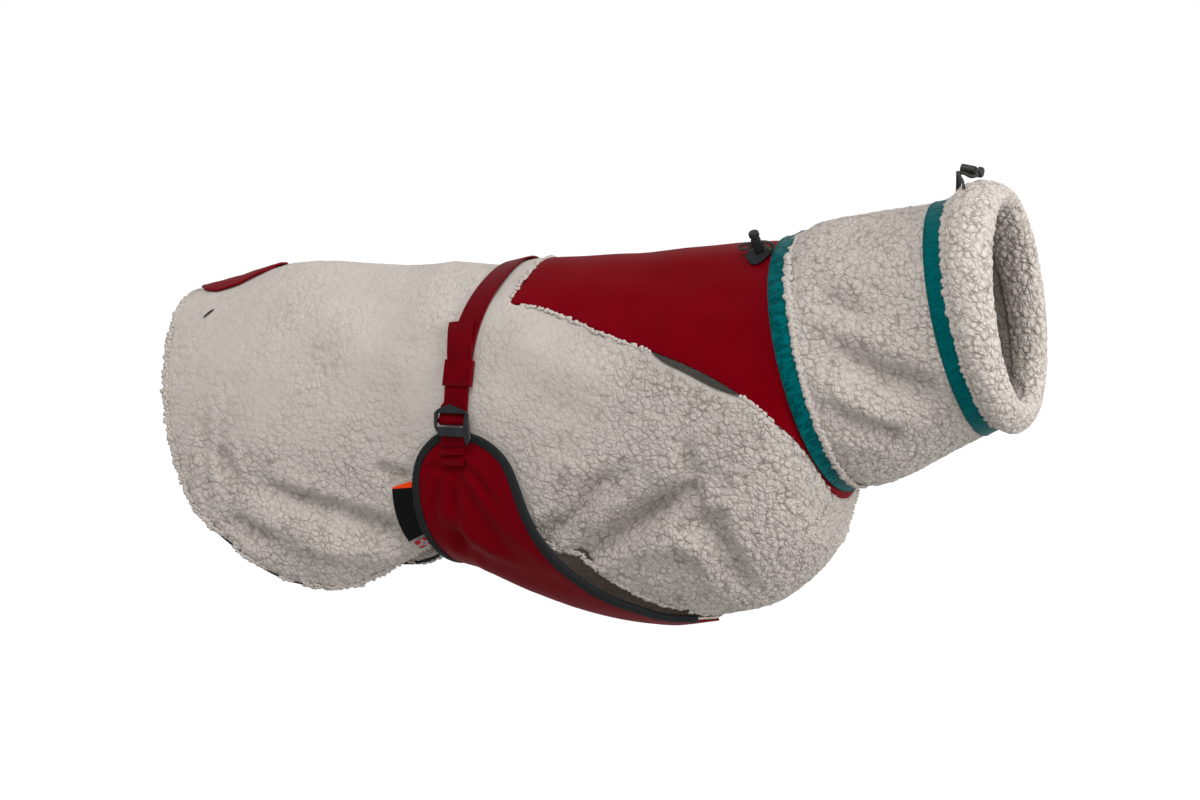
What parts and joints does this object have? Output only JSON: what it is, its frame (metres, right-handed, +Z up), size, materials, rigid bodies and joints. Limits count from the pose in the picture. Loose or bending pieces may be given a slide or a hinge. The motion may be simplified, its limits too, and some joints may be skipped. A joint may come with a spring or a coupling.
{
  "type": "dog winter coat",
  "caption": "Fleece winter coat for a dog, filled out as worn, with a softshell yoke and belly panel, a high collar with a turned-back cuff, drawcords and a webbing strap over the back.",
  "frame": {"origin": "inner face of the yoke on top of the withers, in the middle plane, where the coat hangs on the dog's back", "axes": "+X towards the dog's head, +Z up, so -Y is the dog's right side"},
  "size_m": [0.7173, 0.2124, 0.3681],
  "materials": {
    "fleece": "cream pile fleece with short curls",
    "lining": "grey-brown pile fleece",
    "softshell": "smooth dark red softshell",
    "softshell_belly": "smooth dark red softshell",
    "binding": "dark grey stretch binding",
    "casing": "shiny teal nylon",
    "webbing": "dark red woven webbing",
    "buckle": "dark anodised, satin",
    "label": "black woven label with an orange fold",
    "flag": "red woven tab with a cross",
    "reflective": "grey reflective piping",
    "lock": "dark grey moulded plastic",
    "tab": "black narrow webbing",
    "cord": "grey round elastic cord, braided"
  },
  "bodies": {
    "root": {"body_fleece": "fleece", "hem_binding": "binding", "yoke": "softshell", "collar": "fleece", "collar_cuff": "fleece", "neck_casing": "casing", "collar_casing": "casing", "belly_panel": "softshell_belly", "belly_lining": "lining", "belly_binding": "binding", "back_strap": "webbing", "keeper_right": "webbing", "keeper_left": "webbing", "belly_loop_right": "webbing", "belly_loop_left": "webbing", "buckle_right": "buckle", "buckle_left": "buckle", "side_label": "label", "flag_tab": "flag", "reflective_tab_right": "reflective", "reflective_tab_left": "reflective", "tail_patch": "softshell", "withers_lock": "lock", "withers_lock_plunger": "lock", "withers_tab": "tab", "withers_cord": "cord", "collar_lock": "lock", "collar_lock_plunger": "lock", "collar_tab": "tab", "collar_cord": "cord"}
  },
  "joints": []
}
